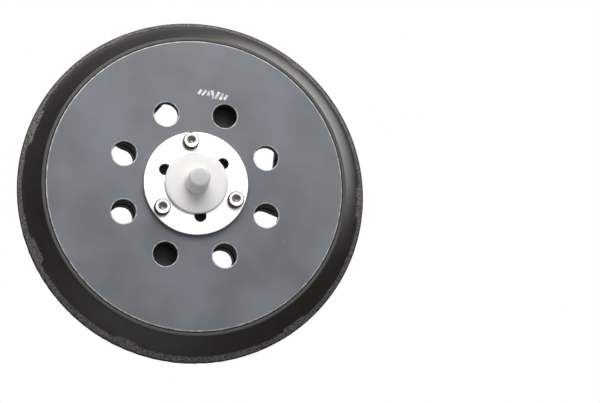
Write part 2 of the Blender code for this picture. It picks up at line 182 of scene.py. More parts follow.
class Shape:
    """A closed form on the spindle axis, and the operators that shape it."""

    def __init__(self) -> None:
        """Start with nothing."""
        self.form = bmesh.new()

    @classmethod
    def turned(cls, profile: Profile, segments: int, loop: bool = True) -> "Shape":
        """Turn a profile about the spindle axis.

        Args:
            profile: Points as (radius, z).
            segments: Steps in the full turn.
            loop: Whether the last point joins the first one again.

        Returns:
            The closed turned shape.
        """
        shape = cls()
        corners = [shape.form.verts.new((radius, 0.0, z)) for radius, z in profile]
        pairs = list(zip(corners, corners[1:]))
        if loop:
            pairs.append((corners[-1], corners[0]))
        edges = [shape.form.edges.new(pair) for pair in pairs]
        bmesh.ops.spin(shape.form, geom=[*corners, *edges], cent=(0.0, 0.0, 0.0), axis=(0.0, 0.0, 1.0),
                       angle=math.tau, steps=segments, use_merge=True, use_duplicate=False)
        return shape.tidied()

    @classmethod
    def prism(cls, sides: int, radius: float, low: float, high: float, centre: Vector,
              tip_radius: float | None = None) -> "Shape":
        """Make an upright prism, cylinder or cone.

        Args:
            sides: Number of sides.
            radius: Corner radius at the low end.
            low: Height of the low end.
            high: Height of the high end.
            centre: Where its axis stands.
            tip_radius: Corner radius at the high end, if it isn't the same.

        Returns:
            The closed prism.
        """
        shape = cls()
        top = radius if tip_radius is None else tip_radius
        place = Matrix.Translation((centre.x, centre.y, (low + high) / 2.0))
        bmesh.ops.create_cone(shape.form, cap_ends=True, segments=sides, radius1=radius, radius2=top,
                              depth=high - low, matrix=place)
        return shape

    @classmethod
    def slot(cls, ends: SlotEnds, low: float, high: float, sides: int) -> "Shape":
        """Make an upright slot: the hull of two cylinders.

        Args:
            ends: The centre and radius of each end.
            low: Height of the low end.
            high: Height of the high end.
            sides: Sides of each cylinder.

        Returns:
            The closed slot.
        """
        shape = cls()
        for centre, radius in ends:
            for height in (low, high):
                place = Matrix.Translation((centre.x, centre.y, height))
                bmesh.ops.create_circle(shape.form, segments=sides, radius=radius, matrix=place)
        hull = bmesh.ops.convex_hull(shape.form, input=shape.form.verts)
        inside = [item for item in hull["geom_interior"] if isinstance(item, bmesh.types.BMVert)]
        bmesh.ops.delete(shape.form, geom=inside, context="VERTS")
        return shape.tidied()

    @classmethod
    def flared_hole(cls, radius: float, flare: float, face: float, floor: float, centre: Vector,
                    sides: int = 48) -> "Shape":
        """Make the cutter of a round hole with a rounded, flared mouth.

        Args:
            radius: Radius of the hole.
            flare: How much wider, and how deep, its mouth is.
            face: Height of the face that the hole opens.
            floor: Height where the hole ends, below the face or above it.
            centre: Where its axis stands.
            sides: Steps round it.

        Returns:
            The closed cutter.
        """
        inward = math.copysign(1.0, floor - face)
        over = face - inward * OVER
        steps = 4
        mouth = []
        for step in range(steps + 1):
            turn = math.radians(90.0 * step / steps)
            mouth.append((radius + flare * (1.0 - math.sin(turn)),
                          face + inward * flare * (1.0 - math.cos(turn))))
        outline = [(0.0, over), (radius + flare, over), *mouth, (radius, floor), (0.0, floor)]
        return cls.turned(outline, sides, loop=False).moved(Vector((centre.x, centre.y, 0.0)))

    def tidied(self) -> "Shape":
        """Merge doubled vertices and turn every face outwards.

        Returns:
            This shape, changed.
        """
        bmesh.ops.remove_doubles(self.form, verts=self.form.verts, dist=MERGE)
        bmesh.ops.recalc_face_normals(self.form, faces=self.form.faces)
        return self

    def moved(self, offset: Vector) -> "Shape":
        """Shift the whole shape."""
        bmesh.ops.translate(self.form, verts=self.form.verts, vec=offset)
        return self

    def combined(self, others: Iterable["Shape"], join: Join) -> "Shape":
        """Cut other closed shapes out of this one, or weld them to it.

        Args:
            others: The other shapes, which are used up.
            join: Whether to cut or to weld.

        Returns:
            This shape, changed.
        """
        operands = bpy.data.collections.new("operands")
        bpy.context.scene.collection.children.link(operands)
        base = self.as_object("base")
        for other in others:
            thing = other.as_object("operand")
            bpy.context.scene.collection.objects.unlink(thing)
            operands.objects.link(thing)
        boolean = base.modifiers.new("combine", "BOOLEAN")
        boolean.operation = join.value
        boolean.solver = "MANIFOLD"
        boolean.operand_type = "COLLECTION"
        boolean.collection = operands
        evaluated = base.evaluated_get(bpy.context.evaluated_depsgraph_get())
        result = bpy.data.meshes.new_from_object(evaluated)
        self.form = bmesh.new()
        self.form.from_mesh(result)
        for thing in [base, *operands.objects]:
            bpy.data.objects.remove(thing)
        bpy.data.collections.remove(operands)
        bpy.data.meshes.remove(result)
        return self.tidied()

    def softened(self, width: float, segments: int = 3, sharper_than: float = 38.0,
                 where: Callable[[Vector], bool] | None = None) -> "Shape":
        """Round the sharp edges.

        Args:
            width: Width of the rounding.
            segments: Steps across it.
            sharper_than: Only edges that turn by more than this many degrees are rounded.
            where: Test on an edge's middle that picks which sharp edges are rounded.

        Returns:
            This shape, changed.
        """
        limit = math.radians(sharper_than)
        edges = []
        for edge in self.form.edges:
            middle = (edge.verts[0].co + edge.verts[1].co) / 2.0
            if edge.is_manifold and edge.calc_face_angle() > limit and (where is None or where(middle)):
                edges.append(edge)
        bmesh.ops.bevel(self.form, geom=edges, offset=width, offset_type="OFFSET", affect="EDGES",
                        segments=segments, profile=0.5, clamp_overlap=True, material=-1)
        return self.tidied()

    def as_object(self, name: str) -> bpy.types.Object:
        """Turn the form into an object, as it stands, and free the form.

        Args:
            name: Name of the object.

        Returns:
            The new object, linked to the scene.
        """
        mesh = bpy.data.meshes.new(name)
        self.form.to_mesh(mesh)
        self.form.free()
        thing = bpy.data.objects.new(name, mesh)
        bpy.context.scene.collection.objects.link(thing)
        return thing

    def piece(self, name: str, material: bpy.types.Material, body: Body, slot: str,
              stands_for: Sequence[str] = (), sharp: float = 32.0) -> bpy.types.Object:
        """Place the shape in the row frame as a finished piece.

        Args:
            name: Name of the piece.
            material: Its finish.
            body: The body that it rides on.
            slot: The record's material slot; not used.
            stands_for: CAD nodes that it replaces.
            sharp: Edges that turn by more degrees than this stay crisp.

        Returns:
            The finished piece.
        """
        thing = self.as_object(name)
        thing.data.transform(SPINDLE)
        thing.data.materials.append(material)
        thing.data.shade_smooth()
        thing.data.set_sharp_from_angle(angle=math.radians(sharp))
        weighted = thing.modifiers.new("flat_faces_stay_flat", "WEIGHTED_NORMAL")
        weighted.keep_sharp = True
        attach(thing, body.value)
        if stands_for:
            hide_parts(*stands_for)
        LOG.info("%s: %d faces on body %s", name, len(thing.data.polygons), body.value)
        return thing


def helix_ridge(root: float, crest: float, pitch: float, low: float, high: float,
                steps: int) -> Shape:
    """Sweep a thread's ridge along a helix.

    Args:
        root: Radius a little under the thread's root, so that the ridge bites into its core.
        crest: Radius of the crest.
        pitch: Rise in one turn.
        low: Height where the ridge starts.
        high: Height where it ends.
        steps: Steps in one turn.

    Returns:
        The closed ridge.
    """
    shape = Shape()
    turns = (high - low) / pitch
    flank = 0.44 * pitch
    land = 0.07 * pitch
    outline = ((root, -flank), (crest, -land), (crest, land), (root, flank))
    corners = [shape.form.verts.new((radius, 0.0, low + rise)) for radius, rise in outline]
    start = shape.form.faces.new(corners)
    count = round(turns * steps)
    bmesh.ops.spin(shape.form, geom=[*corners, *start.edges, start], cent=(0.0, 0.0, 0.0),
                   axis=(0.0, 0.0, 1.0), dvec=(0.0, 0.0, pitch / steps),
                   angle=math.tau * count / steps, steps=count, use_duplicate=False)
    return shape.tidied()


# --------------------------------------------------------------------------------------
# Finishes


def add_node(tree: bpy.types.NodeTree, kind: str, inputs: dict[str | int, object] | None = None,
             **settings: object) -> bpy.types.Node:
    """Add a node with its settings and links.

    Args:
        tree: The node tree.
        kind: The node's type.
        inputs: For each named or numbered input a value, a socket to link, or a node whose
            first output is linked.
        settings: Attributes of the node.

    Returns:
        The new node.
    """
    node = tree.nodes.new(kind)
    for key, value in settings.items():
        setattr(node, key, value)
    for key, value in (inputs or {}).items():
        source = value.outputs[0] if isinstance(value, bpy.types.Node) else value
        if isinstance(source, bpy.types.NodeSocket):
            tree.links.new(source, node.inputs[key])
        else:
            node.inputs[key].default_value = source
    return node


# A Map Range node's inputs are 0 the value, 1 and 2 where it comes from, 3 and 4 where it goes to
# (0 and 1 unless they are given). A colour Mix node's are 0 the share, 6 and 7 the colours, and
# its output 2 is the mixed colour.
SMOOTH = {"interpolation_type": "SMOOTHSTEP"}
COLOURS = {"data_type": "RGBA"}
MADE: dict[str, bpy.types.Material] = {}    # every finish that is in use, by its name


@dataclass(frozen=True)
class Finish:
    """What every finish has: a name, a colour and how rough and metallic it is."""

    name: str
    colour: str
    roughness: float
    metallic: float = 0.0

    def made(self) -> bpy.types.Material:
        """Make the material, or share it if it is made already.

        Returns:
            The material.
        """
        if self.name not in MADE:
            material = bpy.data.materials.new(self.name)
            material.use_nodes = True
            tree = material.node_tree
            shader = tree.nodes["Principled BSDF"]
            shader.inputs["Base Color"].default_value = linear(self.colour)
            shader.inputs["Roughness"].default_value = self.roughness
            shader.inputs["Metallic"].default_value = self.metallic
            self.detail(tree, shader, add_node(tree, "ShaderNodeTexCoord").outputs["Object"])
            MADE[self.name] = material
        return MADE[self.name]

    def detail(self, tree: bpy.types.NodeTree, shader: bpy.types.Node,
               place: bpy.types.NodeSocket) -> None:
        """Add the finish's own pattern and relief, of which a plain finish has none.

        Args:
            tree: The material's node tree.
            shader: Its shader.
            place: Object coordinates in metres.
        """


@dataclass(frozen=True)
class HookKnit(Finish):
    """Knitted polyamide: staggered rows of small eyelets, dark with painted shade, in a fine, uneven yarn,
    partly lit with painted highlights.
    """

    # painted shade in the eyelets' pits
    eyelet: str = "100e0c"
    # lighter yarn, spread at random, partly a painted highlight on the raised yarn
    yarn_light: str = "625d57"
    pitch: float = 1.25 * MM        # between eyelets, coarser than the real 1.05 mm, so that they show
    stray: float = 0.3              # how far an eyelet strays from its row
    waver_size: float = 9.0 * MM    # the rows waver over this length
    waver: float = 1.2 * MM         # and by up to half of this
    yarn_size: float = 0.6 * MM
    patch_size: float = 22.0 * MM
    relief: float = 0.25 * MM

    def detail(self, tree: bpy.types.NodeTree, shader: bpy.types.Node,
               place: bpy.types.NodeSocket) -> None:
        """Draw the eyelets with their painted shade, the yarn between them with its painted highlights, and
        its rubbed patches.

        Args:
            tree: The material's node tree.
            shader: Its shader.
            place: Object coordinates in metres.
        """
        warp = add_node(tree, "ShaderNodeTexNoise",
                        {"Vector": place, "Scale": 1.0 / self.waver_size, "Detail": 1.0})
        centred = add_node(tree, "ShaderNodeVectorMath", {0: warp.outputs["Color"], 1: (0.5, 0.5, 0.5)},
                           operation="SUBTRACT")
        shift = add_node(tree, "ShaderNodeVectorMath", {0: centred, "Scale": self.waver}, operation="SCALE")
        pulled = add_node(tree, "ShaderNodeVectorMath", {0: place, 1: shift}, operation="ADD")
        # A square lattice, squeezed by root 3 and turned 45 degrees, is rows staggered by half a pitch.
        rows = add_node(tree, "ShaderNodeMapping", {"Vector": pulled,
                                                    "Rotation": (0.0, math.radians(45.0), 0.0),
                                                    "Scale": (1.0, 0.0, math.sqrt(3.0))})
        lattice = self.pitch * math.sqrt(1.5)
        eyelets = add_node(tree, "ShaderNodeTexVoronoi",
                           {"Vector": rows, "Scale": 1.0 / lattice, "Randomness": self.stray})
        pit = add_node(tree, "ShaderNodeMapRange",
                       {0: eyelets.outputs["Distance"], 1: 0.28, 2: 0.48, 3: 1.0, 4: 0.0}, **SMOOTH)
        fuzz = add_node(tree, "ShaderNodeTexNoise",
                        {"Vector": place, "Scale": 1.0 / self.yarn_size, "Detail": 3.0})
        yarn = add_node(tree, "ShaderNodeMapRange", {0: fuzz, 1: 0.35, 2: 0.7}, **SMOOTH)
        cloud = add_node(tree, "ShaderNodeTexNoise",
                         {"Vector": place, "Scale": 1.0 / self.patch_size, "Detail": 2.0})
        patch = add_node(tree, "ShaderNodeMapRange", {0: cloud, 1: 0.3, 2: 0.7, 3: 0.0, 4: 0.45}, **SMOOTH)
        cloth = add_node(tree, "ShaderNodeMix",
                         {0: yarn, 6: linear(self.colour), 7: linear(self.yarn_light)}, **COLOURS)
        worn = add_node(tree, "ShaderNodeMix", {0: patch, 6: cloth.outputs[2], 7: linear(self.colour)},
                        **COLOURS)
        knit = add_node(tree, "ShaderNodeMix", {0: pit, 6: worn.outputs[2], 7: linear(self.eyelet)},
                        **COLOURS)
        tree.links.new(knit.outputs[2], shader.inputs["Base Color"])
        raised = add_node(tree, "ShaderNodeMath", {0: yarn, 1: 0.35, 2: 0.0}, operation="MULTIPLY_ADD")
        height = add_node(tree, "ShaderNodeMath", {0: raised, 1: pit}, operation="SUBTRACT")
        bump = add_node(tree, "ShaderNodeBump", {"Height": height, "Distance": self.relief, "Strength": 0.8})
        tree.links.new(bump.outputs[0], shader.inputs["Normal"])
        shader.inputs["Sheen Weight"].default_value = 0.15
        shader.inputs["Sheen Roughness"].default_value = 0.5
        shader.inputs["Specular IOR Level"].default_value = 0.2


@dataclass(frozen=True)
class FoamSkin(Finish):
    """Moulded polyurethane foam, whose skin is torn to open cells where it is scuffed."""

    cell_dark: str = "46433f"
    cell_light: str = "7d7973"
    rubbed: str = "4b4844"
    clouded: str = "2b2824"
    scuff: str = "scuff"            # point attribute: 1 where the skin is gone, 0.3 where it is only rubbed
    tear_size: float = 1.6 * MM
    cell_size: float = 0.7 * MM
    cloud_size: float = 14.0 * MM
    skin_grain: float = 0.35 * MM
    relief: float = 0.35 * MM
    torn_roughness: float = 0.92

    def detail(self, tree: bpy.types.NodeTree, shader: bpy.types.Node,
               place: bpy.types.NodeSocket) -> None:
        """Draw the clouded skin, its rubbed places and the open cells.

        Args:
            tree: The material's node tree.
            shader: Its shader.
            place: Object coordinates in metres.
        """
        worn = add_node(tree, "ShaderNodeAttribute", attribute_name=self.scuff).outputs["Fac"]
        tear = add_node(tree, "ShaderNodeTexNoise",
                        {"Vector": place, "Scale": 1.0 / self.tear_size, "Detail": 3.0})
        ragged = add_node(tree, "ShaderNodeMath", {0: tear, 1: 0.7, 2: -0.35}, operation="MULTIPLY_ADD")
        torn = add_node(tree, "ShaderNodeMath", {0: worn, 1: ragged}, operation="ADD")
        open_cells = add_node(tree, "ShaderNodeMapRange", {0: torn, 1: 0.42, 2: 0.58}, **SMOOTH)
        grain = add_node(tree, "ShaderNodeTexNoise",
                         {"Vector": place, "Scale": 1.0 / self.cell_size, "Detail": 4.0})
        walls = add_node(tree, "ShaderNodeMapRange", {0: grain, 1: 0.38, 2: 0.66}, **SMOOTH)
        cells = add_node(tree, "ShaderNodeMix",
                         {0: walls, 6: linear(self.cell_dark), 7: linear(self.cell_light)}, **COLOURS)
        drift = add_node(tree, "ShaderNodeTexNoise",
                         {"Vector": place, "Scale": 1.0 / self.cloud_size, "Detail": 2.0})
        cloud = add_node(tree, "ShaderNodeMapRange", {0: drift, 1: 0.35, 2: 0.7, 3: 0.0, 4: 0.6}, **SMOOTH)
        skin = add_node(tree, "ShaderNodeMix",
                        {0: cloud, 6: linear(self.colour), 7: linear(self.clouded)}, **COLOURS)
        pale = add_node(tree, "ShaderNodeMapRange", {0: worn, 1: 0.1, 2: 0.3, 3: 0.0, 4: 0.9}, **SMOOTH)
        matt = add_node(tree, "ShaderNodeMix", {0: pale, 6: skin.outputs[2], 7: linear(self.rubbed)},
                        **COLOURS)
        foam = add_node(tree, "ShaderNodeMix", {0: open_cells, 6: matt.outputs[2], 7: cells.outputs[2]},
                        **COLOURS)
        tree.links.new(foam.outputs[2], shader.inputs["Base Color"])
        rough = add_node(tree, "ShaderNodeMapRange",
                         {0: open_cells, 1: 0.0, 2: 1.0, 3: self.roughness, 4: self.torn_roughness}, **SMOOTH)
        tree.links.new(rough.outputs[0], shader.inputs["Roughness"])
        fine = add_node(tree, "ShaderNodeTexNoise",
                        {"Vector": place, "Scale": 1.0 / self.skin_grain, "Detail": 2.0})
        skinned = add_node(tree, "ShaderNodeMath", {0: fine, 1: 0.08}, operation="MULTIPLY")
        height = add_node(tree, "ShaderNodeMath", {0: grain, 1: open_cells, 2: skinned},
                          operation="MULTIPLY_ADD")
        bump = add_node(tree, "ShaderNodeBump", {"Height": height, "Distance": self.relief, "Strength": 0.8})
        tree.links.new(bump.outputs[0], shader.inputs["Normal"])


@dataclass(frozen=True)
class MouldedPlate(Finish):
    """Injection-moulded polyurethane: a little cloudy, with a fine grain and a few light specks."""

    cloud: str = "71767d"
    speck: str = "c9ccd0"
    cloud_size: float = 26.0 * MM
    speck_spacing: float = 11.0 * MM
    grain_size: float = 0.5 * MM
    relief: float = 0.03 * MM

    def detail(self, tree: bpy.types.NodeTree, shader: bpy.types.Node,
               place: bpy.types.NodeSocket) -> None:
        """Draw the clouds, the specks and the grain.

        Args:
            tree: The material's node tree.
            shader: Its shader.
            place: Object coordinates in metres.
        """
        slow = add_node(tree, "ShaderNodeTexNoise",
                        {"Vector": place, "Scale": 1.0 / self.cloud_size, "Detail": 2.5})
        drift = add_node(tree, "ShaderNodeMapRange", {0: slow, 1: 0.3, 2: 0.7}, **SMOOTH)
        tone = add_node(tree, "ShaderNodeMix",
                        {0: drift, 6: linear(self.colour), 7: linear(self.cloud)}, **COLOURS)
        dust = add_node(tree, "ShaderNodeTexVoronoi",
                        {"Vector": place, "Scale": 1.0 / self.speck_spacing, "Randomness": 1.0})
        specks = add_node(tree, "ShaderNodeMapRange",
                          {0: dust.outputs["Distance"], 1: 0.012, 2: 0.028, 3: 0.7, 4: 0.0}, **SMOOTH)
        plastic = add_node(tree, "ShaderNodeMix", {0: specks, 6: tone.outputs[2], 7: linear(self.speck)},
                           **COLOURS)
        tree.links.new(plastic.outputs[2], shader.inputs["Base Color"])
        rough = add_node(tree, "ShaderNodeMapRange",
                         {0: drift, 3: self.roughness - 0.04, 4: self.roughness + 0.05}, **SMOOTH)
        tree.links.new(rough.outputs[0], shader.inputs["Roughness"])
        grain = add_node(tree, "ShaderNodeTexNoise",
                         {"Vector": place, "Scale": 1.0 / self.grain_size, "Detail": 3.0})
        bump = add_node(tree, "ShaderNodeBump", {"Height": grain, "Distance": self.relief, "Strength": 0.6})
        tree.links.new(bump.outputs[0], shader.inputs["Normal"])


@dataclass(frozen=True)
class TurnedMetal(Finish):
    """Metal from the lathe: faint rings round the spindle axis, and soft stains in its gloss."""

    ring_pitch: float = 0.9 * MM    # coarser than real tool marks, so that they show
    ring_depth: float = 0.004 * MM
    stain_size: float = 5.0 * MM

    def detail(self, tree: bpy.types.NodeTree, shader: bpy.types.Node,
               place: bpy.types.NodeSocket) -> None:
        """Draw the stains and the rings.

        Args:
            tree: The material's node tree.
            shader: Its shader.
            place: Object coordinates in metres.
        """
        flat = add_node(tree, "ShaderNodeVectorMath", {0: place, 1: (1.0, 0.0, 1.0)}, operation="MULTIPLY")
        radius = add_node(tree, "ShaderNodeVectorMath", {0: flat}, operation="LENGTH").outputs["Value"]
        turns = add_node(tree, "ShaderNodeMath", {0: radius, 1: math.tau / self.ring_pitch},
                         operation="MULTIPLY")
        rings = add_node(tree, "ShaderNodeMath", {0: turns}, operation="SINE")
        stain = add_node(tree, "ShaderNodeTexNoise",
                         {"Vector": place, "Scale": 1.0 / self.stain_size, "Detail": 3.0})
        rough = add_node(tree, "ShaderNodeMapRange",
                         {0: stain, 1: 0.3, 2: 0.75, 3: self.roughness - 0.06, 4: self.roughness + 0.1},
                         **SMOOTH)
        tree.links.new(rough.outputs[0], shader.inputs["Roughness"])
        bump = add_node(tree, "ShaderNodeBump",
                        {"Height": rings, "Distance": self.ring_depth, "Strength": 0.5})
        tree.links.new(bump.outputs[0], shader.inputs["Normal"])


@dataclass(frozen=True)
class BlackOxide(Finish):
    """Black-oxided steel, paler where a key or a thread has rubbed it."""

    rubbed: str = "8b8983"
    wear_size: float = 2.2 * MM
    grain_size: float = 0.25 * MM
    relief: float = 0.015 * MM

    def detail(self, tree: bpy.types.NodeTree, shader: bpy.types.Node,
               place: bpy.types.NodeSocket) -> None:
        """Draw the rubbed places and the grain.

        Args:
            tree: The material's node tree.
            shader: Its shader.
            place: Object coordinates in metres.
        """
        patches = add_node(tree, "ShaderNodeTexNoise",
                           {"Vector": place, "Scale": 1.0 / self.wear_size, "Detail": 4.0})
        wear = add_node(tree, "ShaderNodeMapRange", {0: patches, 1: 0.45, 2: 0.75, 3: 0.0, 4: 0.8}, **SMOOTH)
        oxide = add_node(tree, "ShaderNodeMix",
                         {0: wear, 6: linear(self.colour), 7: linear(self.rubbed)}, **COLOURS)
        tree.links.new(oxide.outputs[2], shader.inputs["Base Color"])
        rough = add_node(tree, "ShaderNodeMapRange",
                         {0: wear, 1: 0.0, 2: 0.8, 3: self.roughness, 4: self.roughness - 0.12}, **SMOOTH)
        tree.links.new(rough.outputs[0], shader.inputs["Roughness"])
        grain = add_node(tree, "ShaderNodeTexNoise",
                         {"Vector": place, "Scale": 1.0 / self.grain_size, "Detail": 2.0})
        bump = add_node(tree, "ShaderNodeBump", {"Height": grain, "Distance": self.relief, "Strength": 0.5})
        tree.links.new(bump.outputs[0], shader.inputs["Normal"])


@dataclass(frozen=True)
class NaturalNylon(Finish):
    """Undyed nylon, which light soaks into, with a grey tip of painted shade where the screw inside darkens
    it.
    """

    # The core is painted shade: the screw inside darkens the nylon's tip.
    core: str = "c9cac8"
    core_inner: float = 2.4 * MM    # the painted shade is full inside this radius
    core_outer: float = 6.6 * MM    # and gone outside this one
    core_low: float = 3.0 * MM      # and it grows with height from here
    core_high: float = 9.0 * MM     # to here
    soak: float = 5.0 * MM          # how deep light goes
    wave_size: float = 1.5 * MM
    relief: float = 0.04 * MM

    def detail(self, tree: bpy.types.NodeTree, shader: bpy.types.Node,
               place: bpy.types.NodeSocket) -> None:
        """Draw the grey core, which is painted shade, and let light soak in.

        Args:
            tree: The material's node tree.
            shader: Its shader.
            place: Object coordinates in metres.
        """
        flat = add_node(tree, "ShaderNodeVectorMath", {0: place, 1: (1.0, 0.0, 1.0)}, operation="MULTIPLY")
        radius = add_node(tree, "ShaderNodeVectorMath", {0: flat}, operation="LENGTH").outputs["Value"]
        height = add_node(tree, "ShaderNodeSeparateXYZ", {0: place}).outputs["Y"]
        middle = add_node(tree, "ShaderNodeMapRange",
                          {0: radius, 1: self.core_inner, 2: self.core_outer, 3: 1.0, 4: 0.0}, **SMOOTH)
        raised = add_node(tree, "ShaderNodeMapRange",
                          {0: height, 1: self.core_low, 2: self.core_high, 3: 0.15, 4: 1.0}, **SMOOTH)
        shade = add_node(tree, "ShaderNodeMath", {0: middle, 1: raised}, operation="MULTIPLY")
        milky = add_node(tree, "ShaderNodeMix",
                         {0: shade, 6: linear(self.colour), 7: linear(self.core)}, **COLOURS)
        tree.links.new(milky.outputs[2], shader.inputs["Base Color"])
        shader.inputs["Subsurface Weight"].default_value = 0.75
        shader.inputs["Subsurface Radius"].default_value = (1.0, 1.0, 0.95)
        shader.inputs["Subsurface Scale"].default_value = self.soak
        shader.inputs["IOR"].default_value = 1.53
        waves = add_node(tree, "ShaderNodeTexNoise",
                         {"Vector": place, "Scale": 1.0 / self.wave_size, "Detail": 2.0})
        bump = add_node(tree, "ShaderNodeBump", {"Height": waves, "Distance": self.relief, "Strength": 0.4})
        tree.links.new(bump.outputs[0], shader.inputs["Normal"])


@dataclass(frozen=True)
class RubbedEdge(Finish):
    """A pale surface with nicks in it: painted highlight on the plate's edges, and worn print on the ink."""

    nick: str = "9b9ea1"
    nick_size: float = 2.5 * MM

    def detail(self, tree: bpy.types.NodeTree, shader: bpy.types.Node,
               place: bpy.types.NodeSocket) -> None:
        """Draw the nicks.

        Args:
            tree: The material's node tree.
            shader: Its shader.
            place: Object coordinates in metres.
        """
        chipped = add_node(tree, "ShaderNodeTexNoise",
                           {"Vector": place, "Scale": 1.0 / self.nick_size, "Detail": 4.0})
        nicks = add_node(tree, "ShaderNodeMapRange", {0: chipped, 1: 0.42, 2: 0.6}, **SMOOTH)
        edge = add_node(tree, "ShaderNodeMix",
                        {0: nicks, 6: linear(self.colour), 7: linear(self.nick)}, **COLOURS)
        tree.links.new(edge.outputs[2], shader.inputs["Base Color"])


# Knitted hooks: a brown-grey cloth without shine, dotted with eyelets dark with painted shade, its yarn
# partly lit with painted highlights.
HOOK_KNIT = HookKnit("hook_knit_polyamide", "413d39", 0.95)
# Cut yarn: pale, dull hairs along the cloth's cut edges.
LOOSE_YARN = Finish("loose_polyamide_yarn", "a09a92", 0.8)
# Foam with its moulded skin: near-black satin, and grey, dead matt crumbs where it is torn.
FOAM_SKIN = FoamSkin("polyurethane_foam_skin", "1f1b17", 0.55)
# Moulded plate: blue-grey and semi-matt, with a slow drift in its tone.
PLATE_PLASTIC = MouldedPlate("moulded_polyurethane", "5f6367", 0.42)
# The same plastic, darkened with painted shade for hole walls, hole floors and undersides: dark, brownish and
# matt.
DUSTY_PLASTIC = MouldedPlate("painted_shade_polyurethane", "2f2c29", 0.75, cloud="48443f", speck="6f6a63")
# The plate's rim and hole mouths: a thin pale line of painted highlight, broken by nicks.
PLATE_EDGE = RubbedEdge("painted_highlight_polyurethane_edge", "c6c7c5", 0.4)
# Zinc-plated steel: a bright, faintly warm metal with a soft gloss.
HUB_ZINC = TurnedMetal("zinc_plated_steel", "f4f3ee", 0.32, 1.0)
# Pickled stainless steel: bright, and a little sharper in its reflections than the zinc.
STAINLESS = TurnedMetal("pickled_stainless_steel", "e6e4dd", 0.27, 1.0)
# Head chamfers and knurled sides: dark, with painted shade along the head's outline and grime in the knurl's
# ridges.
KNURLED = TurnedMetal("painted_shade_head_edge_steel", "55534e", 0.5, 1.0)
# Sockets: greyer than the head round them, with painted shade.
SOCKET_STEEL = TurnedMetal("painted_shade_socket_steel", "9c9992", 0.38, 1.0)
# Turned steel left bare: mid-grey, with a soft gloss.
BUSH_STEEL = TurnedMetal("turned_steel", "a8a7a3", 0.35, 1.0)
# Turned brass: yellow metal.
INSERT_BRASS = TurnedMetal("turned_brass", "c9a35c", 0.35, 1.0)
# Black oxide: a dull dark grey, paler where a key has rubbed it.
SCREW_BLACK = BlackOxide("black_oxide_steel", "6d6b65", 0.5, 0.7)
# Black oxide in the socket, darkened with painted shade: nearly black.
SOCKET_BLACK = BlackOxide("painted_shade_black_oxide_steel", "1b1a18", 0.6, 0.2, rubbed="292724")
# Undyed nylon: milky white, glowing softly where it is thin.
NUT_NYLON = NaturalNylon("moulded_natural_nylon", "fbf7ee", 0.3)
# Pad-printed ink: matt white, worn through in places.
WORN_INK = RubbedEdge("worn_white_ink", "f6f7f8", 0.6, nick="b4b8bc")
# Background paper: an even, matt white.
FLOOR_PAPER = Finish("matte_white_paper", "f2f2f2", 0.9)


# --------------------------------------------------------------------------------------
# The pad's sub-assemblies


@dataclass(frozen=True)
class DustPattern:
    """Where dust is drawn through the pad: outer holes, plate holes and the slots between them."""

    count: int = 8
    outer_circle: float = 60.0 * MM
    outer_radius: float = 4.5 * MM
    plate_circle: float = 33.0 * MM
    plate_radius: float = 5.25 * MM
    slot_radius: float = 5.0 * MM
    slot_circle: float = 40.0 * MM
    duct_depth: float = 6.0 * MM
    duct_end_radius: float = 3.4 * MM
    duct_play: float = 0.3 * MM     # a duct is this much wider than the plate's hole above it
    sides: int = 40
    # Each slot runs from a plate hole (first angle) to its outer end (second angle).
    slots: tuple[tuple[float, float], ...] = (
        (0.0, 0.0), (180.0, 180.0), (45.0, 60.0), (-45.0, -60.0), (135.0, 120.0), (-135.0, -120.0))

    def angles(self) -> list[float]:
        """The directions of the dust ducts, in degrees."""
        return [index * 360.0 / self.count for index in range(self.count)]

    def outer_holes(self, low: float, high: float) -> list[Shape]:
        """Cutters for the ring of outer holes."""
        return [Shape.prism(self.sides, self.outer_radius, low, high, polar(self.outer_circle, angle))
                for angle in self.angles()]

    def slot_cutters(self, low: float, high: float) -> list[Shape]:
        """Make the cutters of the six slots.

        Args:
            low: Height of their low ends.
            high: Height of their high ends.

        Returns:
            The cutters.
        """
        cutters = []
        for first, last in self.slots:
            ends = ((polar(self.plate_circle, first), self.slot_radius),
                    (polar(self.slot_circle, last), self.slot_radius))
            cutters.append(Shape.slot(ends, low, high, self.sides))
        return cutters

    def ducts(self, low: float, high: float) -> list[Shape]:
        """Make the cutters of the radial ducts under the plate.

        Args:
            low: Height of the ducts' floor.
            high: Height of the cutters' tops.

        Returns:
            The cutters.
        """
        cutters = []
        for angle in self.angles():
            ends = ((polar(self.plate_circle, angle), self.plate_radius + self.duct_play),
                    (polar(self.outer_circle, angle), self.duct_end_radius))
            cutters.append(Shape.slot(ends, low, high, self.sides))
        return cutters

    def open_area(self) -> float:
        """Work out the area that the outer holes and the slots take out of the hook face.

        Returns:
            The area in square metres.
        """
        area = self.count * math.pi * self.outer_radius ** 2
        for first, last in self.slots:
            run = (polar(self.plate_circle, first) - polar(self.slot_circle, last)).length
            area += math.pi * self.slot_radius ** 2 + 2.0 * self.slot_radius * run
        return area


@dataclass(frozen=True)
class HubPattern:
    """The hub's screws, and the drive holes halfway between them."""

    count: int = 3
    drive_circle: float = 14.4 * MM
    drive_radius: float = 2.5 * MM

    def nodes(self, kind: str) -> list[str]:
        """The names of the CAD nodes of one kind, one at each screw."""
        return [f"{kind}_{index + 1}" for index in range(self.count)]

    def drive_holes(self) -> list[Vector]:
        """The centres of the drive holes."""
        step = 360.0 / self.count
        return [polar(self.drive_circle, (index + 0.5) * step) for index in range(self.count)]


